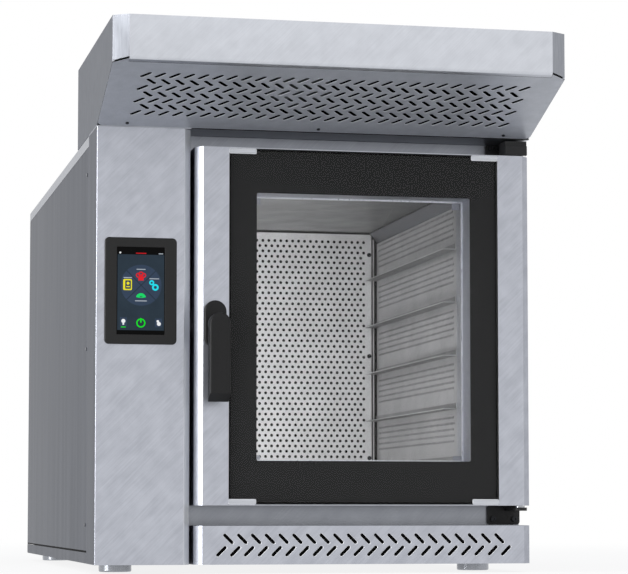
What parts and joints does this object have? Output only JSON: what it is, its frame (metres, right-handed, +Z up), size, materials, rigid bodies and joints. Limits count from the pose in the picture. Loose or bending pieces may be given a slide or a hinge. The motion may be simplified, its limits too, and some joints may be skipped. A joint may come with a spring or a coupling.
{
  "type": "pastry oven",
  "caption": "Convection pastry oven with a glazed side-hinged door, a touch-screen control column and a slotted ventilation hood.",
  "frame": {"origin": "middle of the bounding box's footprint, at the underside of the feet", "axes": "+X to the right seen from the front, +Y into the oven, +Z up"},
  "size_m": [0.8032, 1.5564, 0.99],
  "materials": {
    "cabinet_steel": "brushed stainless steel sheet, vertical grain",
    "front_steel": "brushed stainless steel sheet, slanted grain",
    "hood_steel": "brushed stainless steel sheet",
    "chamber_steel": "smooth stainless steel sheet",
    "galvanised_steel": "zinc-coated steel sheet",
    "hinge_black": "black powder coat",
    "handle_black": "dark grained polyamide",
    "pin_steel": "polished steel",
    "screw_steel": "bright zinc-plated steel",
    "outer_glass": "tempered glass with a black printed border",
    "inner_glass": "clear heat-reflecting glass",
    "gasket_silicone": "dark grey silicone",
    "insulation_wool": "mineral wool slab",
    "lamp_glass": "clear glass lens",
    "fan_steel": "pressed stainless steel",
    "heater_tube": "oxidised nickel-alloy tube",
    "motor_paint": "grey enamel",
    "foot_steel": "turned stainless steel",
    "bezel_black": "satin black moulding",
    "screen_glass": "lit display under glass",
    "circuit_board": "green solder mask",
    "relay_plastic": "light grey thermoplastic",
    "gland_plastic": "dark grey polyamide",
    "brass": "turned brass"
  },
  "bodies": {
    "cabinet": {"feet": "foot_steel", "base_pan": "galvanised_steel", "control_column": "front_steel", "left_side_cover": "cabinet_steel", "right_side_cover": "cabinet_steel", "side_cover_screws": "screw_steel", "top_cover": "cabinet_steel", "rear_panel": "cabinet_steel", "front_frame": "cabinet_steel", "chamber": "chamber_steel", "chamber_insulation": "insulation_wool", "chamber_cradle": "galvanised_steel", "right_duct_panel": "chamber_steel", "left_duct_panel": "chamber_steel", "right_runners": "chamber_steel", "left_runners": "chamber_steel", "rear_baffle": "chamber_steel", "baffle_screws": "screw_steel", "lamp_holder": "chamber_steel", "lamp_glass": "lamp_glass", "steam_pipe": "chamber_steel", "ring_heater": "heater_tube", "motor_plate": "galvanised_steel", "fan_motor": "motor_paint", "door_gasket": "gasket_silicone", "lower_hinge_bracket": "hinge_black", "upper_hinge_bracket": "hinge_black", "hinge_pins": "pin_steel", "hinge_screws": "screw_steel", "upper_hinge_cap": "hinge_black", "latch_keeper": "pin_steel", "vent_panel": "front_steel", "hood_shell": "hood_steel", "hood_underside": "hood_steel", "hood_screws": "screw_steel", "hood_outlet": "galvanised_steel", "hood_fan_motor": "motor_paint", "screen_bezel": "bezel_black", "touch_display": "screen_glass", "control_board": "circuit_board", "component_plate": "galvanised_steel", "contactors": "relay_plastic", "power_board": "circuit_board", "terminal_block": "relay_plastic", "cable_gland": "gland_plastic", "water_valve": "brass"},
    "door": {"door_shell": "front_steel", "door_inner_panel": "chamber_steel", "door_outer_glass": "outer_glass", "door_inner_glass": "inner_glass", "glass_clips": "front_steel", "inner_glass_holders": "chamber_steel", "hinge_bushings": "brass", "handle_base": "handle_black"},
    "handle": {"door_lever": "handle_black", "handle_spindle": "pin_steel", "latch_pawl": "pin_steel"},
    "fan": {"fan_impeller": "fan_steel", "fan_shaft": "pin_steel"},
    "hood_fan": {"hood_fan_rotor": "gland_plastic"}
  },
  "joints": [
    {"name": "door_swing", "type": "hinge", "parent": "cabinet", "child": "door", "pos_m": [0.383, -0.52975, 0.4425], "axis": [0, 0, 1], "range_deg": [0, 120]},
    {"name": "handle_turn", "type": "hinge", "parent": "door", "child": "handle", "pos_m": [-0.187, -0.54575, 0.442], "axis": [0, -1, 0], "range_deg": [0, 90]},
    {"name": "fan_spin", "type": "hinge", "parent": "cabinet", "child": "fan", "pos_m": [0.089, 0.33375, 0.4405], "axis": [0, 1, 0], "continuous": true},
    {"name": "hood_fan_spin", "type": "hinge", "parent": "cabinet", "child": "hood_fan", "pos_m": [0, -0.38075, 0.898], "axis": [0, 0, 1], "continuous": true}
  ]
}
